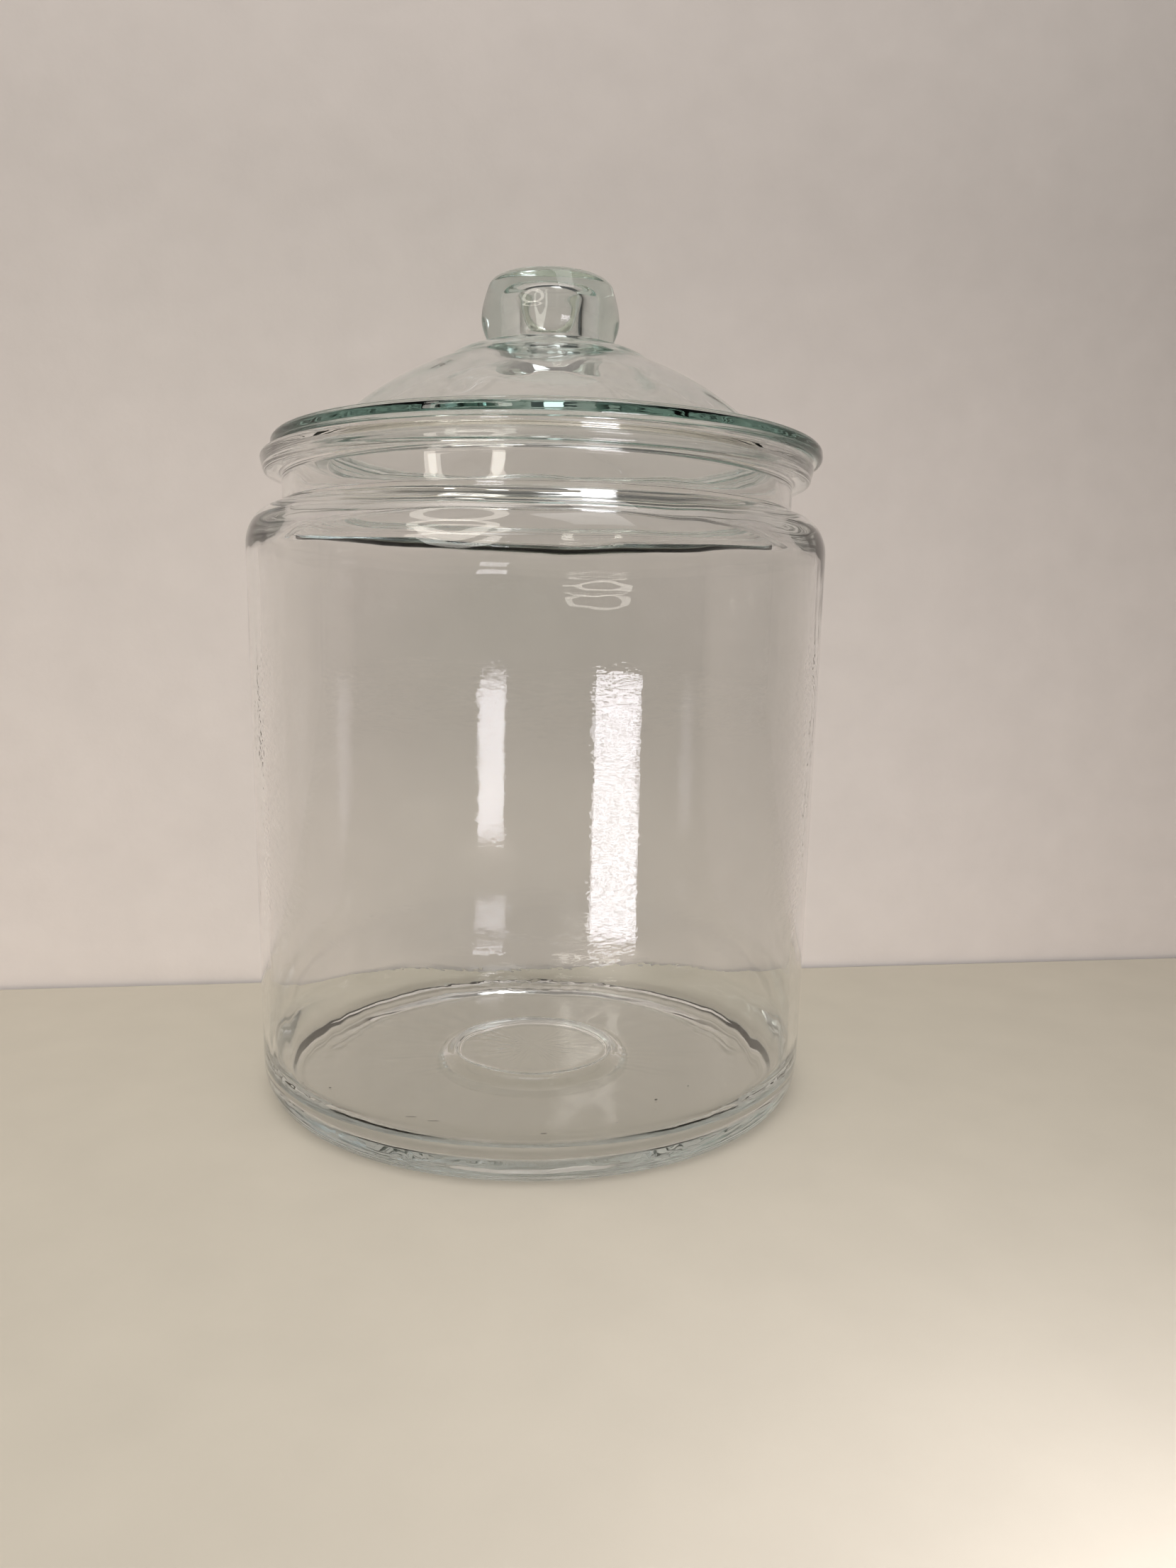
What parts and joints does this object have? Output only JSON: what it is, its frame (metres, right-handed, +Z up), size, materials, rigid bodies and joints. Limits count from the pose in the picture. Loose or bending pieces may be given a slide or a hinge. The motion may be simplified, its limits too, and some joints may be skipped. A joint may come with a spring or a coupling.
{
  "type": "glass storage jar with lid",
  "caption": "Large round clear glass storage jar, empty, with a short neck, a rounded shoulder and a domed glass lid with a hollow knob.",
  "frame": {"origin": "centre of the jar's foot ring, on the surface it stands on", "axes": "+Z up along the jar's axis, -Y towards the side seen in the front view; the lid lies 3.6 mm off centre towards +X"},
  "size_m": [0.23, 0.23, 0.3232],
  "materials": {
    "jar_glass": "clear, fire-polished, slightly wavy inside",
    "lid_glass": "clear, pressed, green-grey at the thick edge"
  },
  "bodies": {
    "root": {"jar": "jar_glass", "lid": "lid_glass"}
  },
  "joints": []
}
